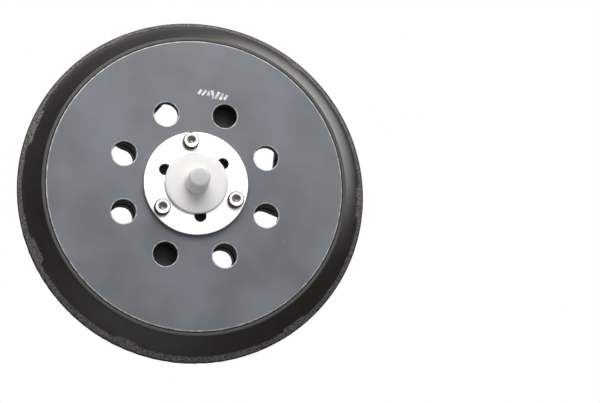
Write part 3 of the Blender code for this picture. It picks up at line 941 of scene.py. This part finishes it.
@dataclass
class HookFace:
    """The hook fabric that holds the abrasive disc, and the loose yarn along its cut edges."""

    dust: DustPattern
    centre_hole: float = 7.5 * MM
    edge_round: float = 0.35 * MM
    segments: int = 240
    stray: float = 0.16 * MM        # how far the cut edge wanders
    stray_size: float = 2.6 * MM    # over this length
    outer_edge: float = 20.0 * MM   # a cut edge of more than this radius is the outer one
    seed: int = 11
    fewest_fibres: int = 6
    fibres_per_metre: float = 420.0
    fibre_length: float = 1.3 * MM
    fibre_radius: float = 0.05 * MM

    def build(self) -> None:
        """Make the fabric and its fibres."""
        room = Extent.of("hook_face")
        profile = [(room.radius, room.high), (room.radius, room.low), (self.centre_hole, room.low),
                   (self.centre_hole, room.high)]
        sheet = Shape.turned(profile, self.segments)
        low, high = room.low - OVER, room.high + OVER
        sheet.combined([*self.dust.outer_holes(low, high), *self.dust.slot_cutters(low, high)], Join.CUT)
        self.wander(sheet)
        sheet.softened(self.edge_round, 2, where=lambda spot: spot.z < room.low + 0.1 * MM)
        fabric = sheet.piece("hook_fabric", HOOK_KNIT.made(), Body.PAD, "hook_fabric", ["hook_face"])
        fibres = self.fibres(room)
        area = math.pi * (room.radius ** 2 - self.centre_hole ** 2) - self.dust.open_area()

    def wander(self, sheet: Shape) -> None:
        """Let the cut edges stray a little from a true circle.

        Args:
            sheet: The cut fabric.
        """
        noise.seed_set(self.seed)       # the clock seeds vector noise otherwise
        for corner in sheet.form.verts:
            pull = noise.noise_vector(Vector((corner.co.x, corner.co.y, 0.0)) / self.stray_size)
            corner.co.x += pull.x * self.stray
            corner.co.y += pull.y * self.stray

    def cut_edges(self, radius: float) -> list[tuple[Vector, float, float, float]]:
        """List the round cut edges.

        Args:
            radius: The fabric's own radius.

        Returns:
            Each edge as (centre, radius, start, end), with its angles in degrees.
        """
        edges = [(Vector(), radius, 0.0, 360.0), (Vector(), self.centre_hole, 0.0, 360.0)]
        for angle in self.dust.angles():
            edges.append((polar(self.dust.outer_circle, angle), self.dust.outer_radius, 0.0, 360.0))
        for first, last in self.dust.slots:
            inner = polar(self.dust.plate_circle, first)
            outer = polar(self.dust.slot_circle, last)
            run = math.degrees(math.atan2(outer.y - inner.y, outer.x - inner.x))
            edges.append((inner, self.dust.slot_radius, run + 90.0, run + 270.0))
            edges.append((outer, self.dust.slot_radius, run - 90.0, run + 90.0))
        return edges

    def fibres(self, room: Extent) -> bpy.types.Object:
        """Make the loose yarn ends.

        Args:
            room: The fabric's extent.

        Returns:
            One piece with every loose end.
        """
        chance = random.Random(self.seed)
        shape = Shape()
        for centre, radius, start, end in self.cut_edges(room.radius):
            length = math.radians(end - start) * radius
            for _ in range(max(self.fewest_fibres, round(length * self.fibres_per_metre))):
                angle = chance.uniform(start, end)
                foot = centre + polar(radius, angle, room.low + chance.uniform(0.05, 0.7) * MM)
                self.fibre(shape, foot, angle, radius, chance)
        return shape.piece("loose_yarn", LOOSE_YARN.made(), Body.PAD, "hook_fabric", sharp=80.0)

    def fibre(self, shape: Shape, foot: Vector, angle: float, radius: float,
              chance: random.Random) -> None:
        """Add one tapering yarn end that stays near the cut edge.

        Args:
            shape: The shape that gathers the yarn ends.
            foot: Where the yarn leaves the fabric.
            angle: The foot's direction from the edge's centre, in degrees.
            radius: The edge's radius.
            chance: The source of random numbers.
        """
        outward = 1.0 if radius > self.outer_edge else -1.0
        run = polar(chance.choice((-1.0, 1.0)), angle + 90.0)
        run += polar(outward * chance.uniform(0.1, 0.4), angle)
        run.z = chance.uniform(-0.4, 0.3)
        length = self.fibre_length * chance.uniform(0.35, 1.0)
        turn = run.to_track_quat("Z", "Y").to_matrix().to_4x4()
        place = Matrix.Translation(foot + run.normalized() * (0.5 * length)) @ turn
        bmesh.ops.create_cone(shape.form, cap_ends=True, segments=4, radius1=self.fibre_radius,
                              radius2=0.4 * self.fibre_radius, depth=length, matrix=place)


@dataclass
class FoamPad:
    """The moulded foam: a hollow flank, a scuffed rim band, a lip round the plate and ducts."""

    dust: DustPattern
    band_height: float = 2.4 * MM
    band_inset: float = 2.2 * MM
    lip_width: float = 1.6 * MM
    lip_drop: float = 0.4 * MM
    lip_height: float = 1.6 * MM
    lip_round: float = 0.6 * MM
    lip_bevel: float = 0.2 * MM
    gap: float = 0.3 * MM
    centre_hole: float = 7.5 * MM
    boss_radius: float = 23.0 * MM
    boss_height: float = 3.0 * MM
    segments: int = 300
    flank_steps: int = 16
    band_steps: int = 8
    foot_height: float = 0.4 * MM
    foot_tuck: float = 0.05 * MM
    hollow: float = 1.35            # more is a deeper hollow in the flank
    rim_height: float = 0.8 * MM    # upright part of the rim, below the band
    torn_mean: float = 2.0 * MM     # width of the band where the skin is torn off
    whole_rim: float = 0.5 * MM     # the outermost edge keeps its skin
    torn_swing: float = 0.5 * MM    # the band is this much wider on one side and narrower on the other
    widest_at: float = 285.0
    torn_ripple: float = 0.35 * MM
    ripple_size: float = 3.0 * MM
    crumb_size: float = 1.1 * MM
    crumb_height: float = 0.16 * MM
    torn_sink: float = 0.14 * MM    # torn foam lies this much lower than the skin
    rubbed_lip: float = 0.35 * MM   # the lip is rubbed down to this depth
    rubbed_mark: float = 0.3
    duct_mark: float = 0.45
    # Deeper chips in the skin: direction and half span in degrees, and extra width.
    chips: tuple[tuple[float, float, float], ...] = (
        (182.0, 7.0, 1.5 * MM), (225.5, 5.0, 1.6 * MM), (270.0, 4.0, 1.2 * MM), (140.0, 3.0, 0.5 * MM),
        (20.0, 6.0, 1.2 * MM), (75.0, 3.5, 0.8 * MM), (330.0, 5.0, 0.9 * MM))

    def build(self) -> None:
        """Make the foam."""
        room = Extent.of("foam_pad")
        plate = Extent.of("backing_plate")
        pocket = plate.low + self.boss_height - self.gap
        shape = Shape.turned(self.profile(room, plate, pocket), self.segments)
        duct_floor = pocket - self.dust.duct_depth
        cutters = [*self.dust.ducts(duct_floor, pocket + OVER),
                   *self.dust.outer_holes(room.low - OVER, duct_floor + OVER),
                   *self.dust.slot_cutters(room.low - OVER, pocket + 0.5 * OVER)]
        shape.combined(cutters, Join.CUT)
        self.roughen(shape, room)
        foam = shape.piece("moulded_foam", FOAM_SKIN.made(), Body.PAD, "foam", ["foam_pad"], sharp=42.0)
        self.mark_scuffs(foam, room)

    def profile(self, room: Extent, plate: Extent, pocket: float) -> Profile:
        """Half outline of the foam, down its outer side and back up its inner one.

        Args:
            room: The foam's extent.
            plate: The plate's extent.
            pocket: Height of the floor that the plate lies on.

        Returns:
            The closed outline's points.
        """
        lip_inner = plate.radius + self.gap
        lip_outer = lip_inner + self.lip_width
        lip_z = plate.high - self.lip_drop
        shoulder_z = lip_z - self.lip_height
        band_top = room.low + self.band_height
        band_radius = room.radius - self.band_inset
        rounding = (lip_outer - self.lip_round, lip_z - self.lip_round)
        lip = [(lip_inner, lip_z - self.lip_bevel), (lip_inner + self.lip_bevel, lip_z),
               *arc(rounding, self.lip_round, 90.0, 20.0, 4)]
        flank = []
        for index in range(self.flank_steps + 1):
            share = index / self.flank_steps
            radius = lip_outer + (band_radius - lip_outer) * share
            height = shoulder_z + (band_top - shoulder_z) * (1.0 - (1.0 - share) ** self.hollow)
            flank.append((radius, height))
        band = []
        for index in range(1, self.band_steps + 1):
            share = index / self.band_steps
            drop = (self.band_height - self.rim_height) * share
            band.append((band_radius + self.band_inset * share, band_top - drop))
        edge = [(room.radius, room.low + self.foot_height), (room.radius - self.foot_tuck, room.low)]
        boss_floor = plate.low - self.gap
        boss_wall = self.boss_radius + self.gap
        inside = [(self.centre_hole, room.low), (self.centre_hole, boss_floor),
                  (boss_wall, boss_floor), (boss_wall, pocket), (lip_inner, pocket)]
        return [*lip, *flank, *band, *edge, *inside]

    def torn_width(self, spot: Vector) -> float:
        """Work out how wide the torn band is in one direction, chips included.

        Args:
            spot: A point in that direction, in spindle coordinates.

        Returns:
            The width.
        """
        angle = math.degrees(math.atan2(spot.y, spot.x))
        lean = math.cos(math.radians(angle - self.widest_at))
        width = self.torn_mean + self.torn_swing * lean
        around = Vector((spot.x, spot.y, 0.0)) / self.ripple_size
        width += noise.noise(around) * self.torn_ripple
        for centre, half_span, depth in self.chips:
            off = abs((angle - centre + 180.0) % 360.0 - 180.0)
            width += depth * (1.0 - ease(0.75 * half_span, half_span, off))
        return width

    def scuff(self, spot: Vector, room: Extent) -> float:
        """How far the skin is worn away at a point.

        Args:
            spot: The point in spindle coordinates.
            room: The foam's extent.

        Returns:
            0 on whole skin, the rubbed and duct marks on the lip and in the ducts, and 1 where it is torn.
        """
        radius = math.hypot(spot.x, spot.y)
        if radius > room.radius - 3.0 * self.band_inset:
            if spot.z < room.low + self.rim_height - 0.1 * MM:
                return 0.0
            edge = room.radius - self.torn_width(spot)
            on_rim = radius > room.radius - self.whole_rim
            return 0.0 if on_rim else ease(edge - 0.2 * MM, edge + 0.3 * MM, radius)
        if spot.z > room.high - self.rubbed_lip:
            return self.rubbed_mark
        in_duct = self.boss_radius + MM < radius < room.radius - 10.0 * MM
        return self.duct_mark if in_duct and spot.z > room.low + 0.5 * MM else 0.0

    def roughen(self, shape: Shape, room: Extent) -> None:
        """Sink and roughen the surface where the skin is torn.

        Args:
            shape: The foam.
            room: Its extent.
        """
        for corner in shape.form.verts:
            worn = self.scuff(corner.co, room)
            if worn > 0.5:
                outward = Vector((corner.co.x, corner.co.y, 0.0)).normalized()
                outward.z = 0.7
                crumble = noise.noise(corner.co / self.crumb_size) * self.crumb_height - self.torn_sink
                corner.co += outward * (worn * crumble)

    def mark_scuffs(self, foam: bpy.types.Object, room: Extent) -> None:
        """Store how worn each point is, for the finish to read.

        Args:
            foam: The finished foam.
            room: Its extent.
        """
        marks = foam.data.attributes.new(FOAM_SKIN.scuff, "FLOAT", "POINT")
        back = SPINDLE.inverted()
        values = [self.scuff(back @ point.co, room) for point in foam.data.vertices]
        marks.data.foreach_set("value", values)


@dataclass
class BackingPlate:
    """The stiff plate, with its boss, its dust holes and a worn, wordless ink mark."""

    dust: DustPattern
    hub: HubPattern
    thickness: float = 4.0 * MM
    boss_radius: float = 23.0 * MM
    washer_pocket: float = 7.6 * MM
    bush_bore: float = 6.3 * MM
    insert_bore: float = 3.3 * MM
    insert_depth: float = 5.8 * MM
    drive_depth: float = 3.0 * MM
    hole_sides: int = 32
    chamfer: float = 0.45 * MM
    rim_round: float = 0.52 * MM
    rubbed_depth: float = 0.6 * MM  # edges this near the face take a painted pale highlight
    ink_strokes: int = 7            # a worn, wordless row of strokes
    ink_pitch: float = 1.9 * MM
    ink_height: float = 4.0 * MM
    ink_width: float = 1.1 * MM
    ink_lean: float = 32.0          # how far a stroke may lean, in degrees
    ink_film: float = 0.03 * MM
    ink_rise: float = 0.02 * MM     # the film's middle stands this far above the plate
    ink_circle: float = 40.5 * MM
    ink_angle: float = 12.0
    ink_seed: int = 4
    segments: int = 240

    def build(self) -> None:
        """Make the plate and its ink."""
        room = Extent.of("backing_plate")
        under = room.high - self.thickness
        rim = arc((room.radius - self.rim_round, room.high - self.rim_round), self.rim_round, 90.0, 0.0, 4)
        profile = [*rim, (room.radius, under), (self.boss_radius, under),
                   (self.boss_radius, room.low), (self.washer_pocket, room.low), (self.washer_pocket, under),
                   (self.bush_bore, under), (self.bush_bore, room.high)]
        shape = Shape.turned(profile, self.segments)
        shape.combined([*self.dust_holes(room, under), *self.hub_holes(room)], Join.CUT)
        plate = shape.piece("moulded_plate", PLATE_PLASTIC.made(), Body.PAD, "plate_plastic",
                            ["backing_plate"])
        self.rub_edges(plate, room)
        self.ink(room)

    def dust_holes(self, room: Extent, under: float) -> list[Shape]:
        """Cutters for the dust holes, each with a flared mouth."""
        return [Shape.flared_hole(self.dust.plate_radius, self.chamfer, room.high, under - OVER,
                                  polar(self.dust.plate_circle, angle)) for angle in self.dust.angles()]

    def hub_holes(self, room: Extent) -> list[Shape]:
        """Make the cutters of the insert holes and the blind drive holes under the hub disc.

        Args:
            room: The plate's extent.

        Returns:
            The cutters.
        """
        top = room.high + OVER
        cutters = []
        for node, drive in zip(self.hub.nodes("hub_insert"), self.hub.drive_holes()):
            spot = Extent.of(node).centre
            cutters.append(Shape.prism(self.hole_sides, self.insert_bore,
                                       room.high - self.insert_depth, top, spot))
            cutters.append(Shape.prism(self.hole_sides, self.hub.drive_radius,
                                       room.high - self.drive_depth, top, drive))
        return cutters

    def rub_edges(self, plate: bpy.types.Object, room: Extent) -> None:
        """Give the outer edge and the holes' mouths a painted pale highlight, and the hole walls and
        undersides painted shade.

        Args:
            plate: The finished plate.
            room: Its extent.
        """
        plate.data.materials.append(PLATE_EDGE.made())
        plate.data.materials.append(DUSTY_PLASTIC.made())
        for face in plate.data.polygons:
            near_top = face.center.y > room.high - self.rubbed_depth
            inside = math.hypot(face.center.x, face.center.z) < room.radius - MM
            # Slanted faces near the face take the painted pale highlight.
            if near_top and 0.12 < abs(face.normal.y) < 0.99:
                face.material_index = 1
            # Undersides, hole walls and hole floors take painted shade.
            elif face.normal.y < -0.5 or (inside and face.center.y < room.high - 0.5 * self.rubbed_depth):
                face.material_index = 2

    def ink(self, room: Extent) -> None:
        """Print a row of short worn strokes, which say nothing.

        Args:
            room: The plate's extent.
        """
        shape = Shape()
        chance = random.Random(self.ink_seed)
        for index in range(self.ink_strokes):
            along = (index - (self.ink_strokes - 1) / 2.0) * self.ink_pitch
            tall = self.ink_height * chance.uniform(0.55, 1.0)
            lean = math.radians(chance.uniform(-self.ink_lean, self.ink_lean))
            place = (Matrix.Rotation(math.radians(self.ink_angle), 4, "Z")
                     @ Matrix.Translation((along, self.ink_circle, room.high + self.ink_rise))
                     @ Matrix.Rotation(lean, 4, "Z")
                     @ Matrix.Diagonal((self.ink_width, tall, self.ink_film, 1.0)))
            bmesh.ops.create_cube(shape.form, size=1.0, matrix=place)
        shape.piece("ink_strokes", WORN_INK.made(), Body.PAD, "plate_plastic")


@dataclass
class Hub:
    """The seat disc and its screws, with the threaded inserts and the bush under it."""

    hub: HubPattern
    disc_bore: float = 6.3 * MM
    disc_segments: int = 192
    screw_hole: float = 2.26 * MM
    screw_hole_flare: float = 0.1 * MM
    edge_round: float = 0.25 * MM
    hole_flare: float = 0.2 * MM
    small_key: float = 2.5 * MM
    small_shank: float = 1.9 * MM
    small_head: float = 2.8 * MM
    small_floor: float = 1.2 * MM   # metal left under the socket
    small_tip: float = 0.4 * MM
    small_flare: float = 0.65 * MM
    head_chamfer: float = 0.5 * MM
    knurl_ridges: int = 36
    knurl_depth: float = 0.12 * MM
    knurled_from: float = 0.85      # share of the head's radius where the painted shade of the chamfer and knurled side starts

    def build(self) -> None:
        """Make the disc and the screws, and dress the hidden inserts and bush."""
        self.disc()
        for screw, insert in zip(self.hub.nodes("hub_screw"), self.hub.nodes("hub_insert")):
            self.small_screw(screw)
            dress(insert, INSERT_BRASS)
        dress("centre_bush", BUSH_STEEL)

    def disc(self) -> None:
        """Make the seat disc."""
        room = Extent.of("hub_disc")
        edge = self.edge_round
        profile = [*arc((room.radius - edge, room.high - edge), edge, 90.0, 0.0, 4),
                   *arc((room.radius - edge, room.low + edge), edge, 0.0, -90.0, 4),
                   (self.disc_bore, room.low), (self.disc_bore, room.high)]
        shape = Shape.turned(profile, self.disc_segments)
        below = room.low - OVER
        cutters = []
        for node, drive in zip(self.hub.nodes("hub_screw"), self.hub.drive_holes()):
            cutters.append(Shape.flared_hole(self.screw_hole, self.screw_hole_flare, room.high, below,
                                             Extent.of(node).centre))
            cutters.append(Shape.flared_hole(self.hub.drive_radius, self.hole_flare, room.high, below, drive))
        shape.combined(cutters, Join.CUT)
        shape.piece("seat_disc", HUB_ZINC.made(), Body.PAD, "hub_steel", ["hub_disc"])

    def small_screw(self, node: str) -> None:
        """Make one knurled low-head socket screw.

        Args:
            node: The CAD node that it replaces.
        """
        room = Extent.of(node)
        seat = room.high - self.small_head
        edge = self.head_chamfer
        ridge = room.radius - self.knurl_depth
        outline = [(0.0, room.high), (room.radius - edge, room.high), (ridge, room.high - edge),
                   (ridge, seat), (self.small_shank, seat),
                   (self.small_shank, room.low + self.small_tip),
                   (self.small_shank - self.small_tip, room.low), (0.0, room.low)]
        shape = Shape.turned(outline, 2 * self.knurl_ridges, loop=False)
        for corner in shape.form.verts:
            around = math.atan2(corner.co.y, corner.co.x) * self.knurl_ridges / math.tau
            on_side = abs(math.hypot(corner.co.x, corner.co.y) - ridge) < 0.01 * MM
            if on_side and abs(around - round(around)) < 0.1:
                corner.co.xy *= room.radius / ridge
        socket = key_socket(self.small_key, room.high, seat + self.small_floor, self.small_flare)
        shape.combined(socket, Join.CUT).moved(room.centre)
        screw = shape.piece(f"{node}_turned", STAINLESS.made(), Body.PAD, "screw_steel", [node])
        screw.data.materials.append(KNURLED.made())
        screw.data.materials.append(SOCKET_STEEL.made())
        # The chamfer and knurled side take painted shade along the head's outline.
        for face in screw.data.polygons:
            if abs(face.normal.y) < 0.95 and face.center.y > seat:
                away = math.hypot(-face.center.x - room.centre.x, face.center.z - room.centre.y)
                # The socket's walls and mouth take a paler painted shade.
                face.material_index = 1 if away > self.knurled_from * ridge else 2


@dataclass
class CentreScrew:
    """The black M6 screw that clamps the pad, and its washer."""

    key: float = 4.0 * MM
    key_depth: float = 2.4 * MM
    shank: float = 3.0 * MM
    head: float = 4.0 * MM
    pitch: float = 1.0 * MM
    thread_depth: float = 0.55 * MM
    thread_bite: float = 0.12 * MM  # the ridge reaches this far into the core
    thread_start: float = 0.9 * MM  # from the head
    thread_end: float = 0.75 * MM   # from the tip
    thread_steps: int = 28
    head_edge: float = 0.5 * MM
    tip: float = 0.4 * MM
    key_flare: float = -0.12 * MM   # the mouth stays inside the hexagon's corners, which show crisp
    segments: int = 72
    washer_teeth: int = 60          # radial serrations that keep the screw from working loose
    tooth_depth: float = 0.07 * MM
    washer_play: float = 0.3 * MM

    def build(self) -> None:
        """Make the screw and the washer."""
        room = Extent.of("centre_screw")
        seat = room.low + self.head
        core = self.shank - self.thread_depth
        outline = [(0.0, room.low), (room.radius - self.head_edge, room.low),
                   (room.radius, room.low + self.head_edge), (room.radius, seat), (core, seat),
                   (core, room.high - self.tip), (core - self.tip, room.high), (0.0, room.high)]
        shape = Shape.turned(outline, self.segments, loop=False)
        socket = key_socket(self.key, room.low, room.low + self.key_depth, self.key_flare)
        shape.combined(socket, Join.CUT)
        ridge = helix_ridge(core - self.thread_bite, self.shank, self.pitch, seat + self.thread_start,
                            room.high - self.thread_end, self.thread_steps)
        shape.combined([ridge], Join.WELD)
        screw = shape.piece("black_screw", SCREW_BLACK.made(), Body.SCREW, "black_steel", ["centre_screw"])
        screw.data.materials.append(SOCKET_BLACK.made())
        # The socket's walls and floor take painted shade.
        for face in screw.data.polygons:
            sunk = room.low + 0.2 * MM < face.center.y < seat
            if sunk and math.hypot(face.center.x, face.center.z) < 0.7 * self.key:
                face.material_index = 1
        self.washer()

    def washer(self) -> None:
        """Make the plated washer under the screw's head."""
        room = Extent.of("screw_washer")
        bore = self.shank + self.washer_play
        profile = [(room.radius, room.high), (room.radius, room.low), (bore, room.low), (bore, room.high)]
        shape = Shape.turned(profile, 2 * self.washer_teeth)
        for corner in shape.form.verts:
            around = math.atan2(corner.co.y, corner.co.x) * self.washer_teeth / math.tau
            if math.hypot(corner.co.x, corner.co.y) > bore + MM and abs(around - round(around)) < 0.1:
                corner.co.z += math.copysign(self.tooth_depth, room.high + room.low - 2.0 * corner.co.z)
        shape.piece("plated_washer", HUB_ZINC.made(), Body.WASHER, "hub_steel", ["screw_washer"])


@dataclass
class RetainingNut:
    """The milky nylon nut: a wide thin flange and a stepped, blind nipple."""

    flange_height: float = 2.0 * MM
    lower_radius: float = 5.0 * MM
    upper_radius: float = 4.6 * MM
    step_height: float = 6.5 * MM
    tip_round: float = 1.4 * MM
    bore: float = 3.3 * MM
    tip_wall: float = 1.5 * MM
    tip_cone: float = 0.8 * MM
    fillet: float = 0.5 * MM
    step: float = 0.4 * MM
    step_rise: float = 0.35 * MM
    flange_round: float = 0.6 * MM
    base_round: float = 0.3 * MM
    segments: int = 96

    def build(self) -> None:
        """Make the nut."""
        room = Extent.of("retaining_nut")
        base, top = room.low, room.high
        flange = base + self.flange_height
        step = base + self.step_height
        tip = (self.upper_radius - self.tip_round, top - self.tip_round)
        root = (self.lower_radius + self.fillet, flange + self.fillet)
        upper_edge = (room.radius - self.flange_round, flange - self.flange_round)
        lower_edge = (room.radius - self.base_round, base + self.base_round)
        outline = [(0.0, top), *arc(tip, self.tip_round, 90.0, 0.0, 8),
                   (self.upper_radius, step + self.step_rise), (self.upper_radius - self.step, step),
                   (self.lower_radius, step - self.step), *arc(root, self.fillet, 180.0, 270.0, 5),
                   *arc(upper_edge, self.flange_round, 90.0, 0.0, 5),
                   *arc(lower_edge, self.base_round, 0.0, -90.0, 3),
                   (self.bore + self.step, base), (self.bore, base + self.step),
                   (self.bore, top - self.tip_wall - self.tip_cone), (0.0, top - self.tip_wall)]
        shape = Shape.turned(outline, self.segments, loop=False)
        shape.piece("nylon_nut", NUT_NYLON.made(), Body.NUT, "natural_nylon", ["retaining_nut"])


def key_socket(width: float, face: float, floor: float, flare: float) -> list[Shape]:
    """Make the cutters of a hexagon socket with a flared mouth and a drilled, conical floor.

    Args:
        width: Width across the hexagon's flats.
        face: Height of the screw head's face.
        floor: Height of the socket's floor, below the face or above it.
        flare: How far the mouth flares past the hexagon's corners; below 0 it stops short of them.

    Returns:
        The cutters.
    """
    inward = math.copysign(1.0, floor - face)
    over = face - inward * OVER
    corner = width / math.sqrt(3.0)
    low, high = sorted((over, floor))
    mouth_floor = face + inward * 0.9 * MM
    mouth = Shape.flared_hole(0.5 * width, corner - 0.5 * width + flare, face, mouth_floor, Vector())
    drill = 0.45 * width
    point = [(0.0, over), (drill, over), (drill, floor), (0.0, floor + inward * 0.3 * width)]
    drilled = Shape.turned(point, 36, loop=False)
    return [Shape.prism(6, corner, low, high, Vector()), mouth, drilled]


def dress(node: str, finish: Finish) -> None:
    """Give a carried-over CAD node its finish.

    Args:
        node: Name of the node.
        finish: The finish.
    """
    thing = frame["nodes"][node]
    thing.data.materials.clear()
    thing.data.materials.append(finish.made())
    LOG.info("%s: kept, dressed in %s", node, finish.name)


# --------------------------------------------------------------------------------------
# Studio


@dataclass
class Studio:
    """A pale floor, a pale surround, soft boxes over both faces and the camera."""

    floor_z: float = -0.36
    floor_size: float = 16.0
    floor_glow: float = 0.5
    surround: float = 0.21          # light from all round
    surround_colour: str = "fbfcff"
    sweep_from: float = -0.03       # the sweep behind the floor pales between these two heights
    sweep_to: float = 0.10
    # The grey at the sweep's foot, below the white, is painted shade.
    sweep_low: str = "d7d7d7"
    sweep_high: str = "ffffff"
    sensor: float = 36.0
    lens: float = 141.3
    distance: float = 1.0
    tilt_up: float = -12.78         # the pad's axis leans up in the view
    tilt_across: float = 9.51
    turn: float = -22.14
    across: float = -44.1 * MM      # where the pad's centre lies in the view
    up: float = 7.8 * MM
    boxes: tuple[tuple[str, Vector, float, float], ...] = field(default_factory=lambda: (
        ("machine_top_box", Vector((0.20, 0.38, 0.44)), 0.6, 5.0),
        ("machine_front_box", Vector((-0.15, 1.7, 0.55)), 1.3, 5.2),
        ("hook_top_box", Vector((-0.22, -0.36, 0.46)), 0.5, 4.4),
        ("hook_front_box", Vector((0.3, -1.7, 0.55)), 1.3, 5.2),
        ("bounce_card", Vector((0.0, 0.0, -0.34)), 0.4, 0.3)))

    def build(self) -> None:
        """Make the floor, the lights, the surround and the camera."""
        self.floor()
        self.surround_light()
        for name, place, size, power in self.boxes:
            self.soft_box(name, place, size, power)
        self.camera()

    def floor(self) -> None:
        """Lay the floor, which shows pale and doesn't light the pad from below."""
        form = bmesh.new()
        bmesh.ops.create_grid(form, x_segments=1, y_segments=1, size=self.floor_size / 2.0,
                              matrix=Matrix.Translation((0.0, 0.0, self.floor_z)))
        mesh = bpy.data.meshes.new("floor")
        form.to_mesh(mesh)
        form.free()
        floor = bpy.data.objects.new("floor", mesh)
        bpy.context.scene.collection.objects.link(floor)
        paper = FLOOR_PAPER.made()
        shader = paper.node_tree.nodes["Principled BSDF"]
        shader.inputs["Emission Color"].default_value = linear(self.sweep_high)
        shader.inputs["Emission Strength"].default_value = self.floor_glow
        floor.data.materials.append(paper)
        floor.visible_diffuse = False
        floor.visible_glossy = False

    def surround_light(self) -> None:
        """Light the scene from all round, and show a paper sweep that pales above the floor."""
        world = bpy.data.worlds.new("studio")
        bpy.context.scene.world = world
        world.use_nodes = True
        tree = world.node_tree
        tree.nodes.clear()
        place = add_node(tree, "ShaderNodeTexCoord").outputs["Generated"]
        height = add_node(tree, "ShaderNodeSeparateXYZ", {0: place}).outputs["Z"]
        rise = add_node(tree, "ShaderNodeMapRange", {0: height, 1: self.sweep_from, 2: self.sweep_to},
                        **SMOOTH)
        paper = add_node(tree, "ShaderNodeMix",
                         {0: rise, 6: linear(self.sweep_low), 7: linear(self.sweep_high)}, **COLOURS)
        seen = add_node(tree, "ShaderNodeLightPath").outputs["Is Camera Ray"]
        glow = add_node(tree, "ShaderNodeBackground",
                        {"Color": linear(self.surround_colour), "Strength": self.surround})
        sweep = add_node(tree, "ShaderNodeBackground", {"Color": paper.outputs[2], "Strength": 1.0})
        mix = add_node(tree, "ShaderNodeMixShader", {0: seen, 1: glow, 2: sweep})
        add_node(tree, "ShaderNodeOutputWorld", {0: mix})
        bpy.context.scene.view_settings.view_transform = "Standard"

    def soft_box(self, name: str, place: Vector, size: float, power: float) -> None:
        """Hang one square soft box that faces the pad.

        Args:
            name: Its name.
            place: Where it hangs.
            size: The length of its side in metres.
            power: Its power in watts.
        """
        light = bpy.data.lights.new(name, "AREA")
        light.size = size
        light.energy = power
        thing = bpy.data.objects.new(name, light)
        thing.location = place
        thing.rotation_euler = (-place).to_track_quat("-Z", "Y").to_euler()
        thing.visible_camera = False
        bpy.context.scene.collection.objects.link(thing)

    def camera(self) -> None:
        """Look at the machine side, with the pad where the view wants it."""
        data = bpy.data.cameras.new("camera")
        data.lens = self.lens
        data.sensor_width = self.sensor
        camera = bpy.data.objects.new("camera", data)
        bpy.context.scene.collection.objects.link(camera)
        pad_in_view = (Matrix.Rotation(math.radians(self.tilt_up), 4, "X")
                       @ Matrix.Rotation(math.radians(self.tilt_across), 4, "Y")
                       @ Matrix.Rotation(math.radians(self.turn), 4, "Z"))
        view = (Matrix.Translation((self.across, self.up, -self.distance)) @ pad_in_view
                @ SPINDLE.inverted())
        camera.matrix_world = view.inverted()
        bpy.context.scene.camera = camera


def main() -> None:
    """Build every sub-assembly and the studio."""
    logging.basicConfig(level=logging.INFO, format="%(name)s: %(message)s")
    dust = DustPattern()
    hub = HubPattern()
    HookFace(dust).build()
    FoamPad(dust).build()
    BackingPlate(dust, hub).build()
    Hub(hub).build()
    CentreScrew().build()
    RetainingNut().build()
    Studio().build()


if __name__ == "__main__":
    main()
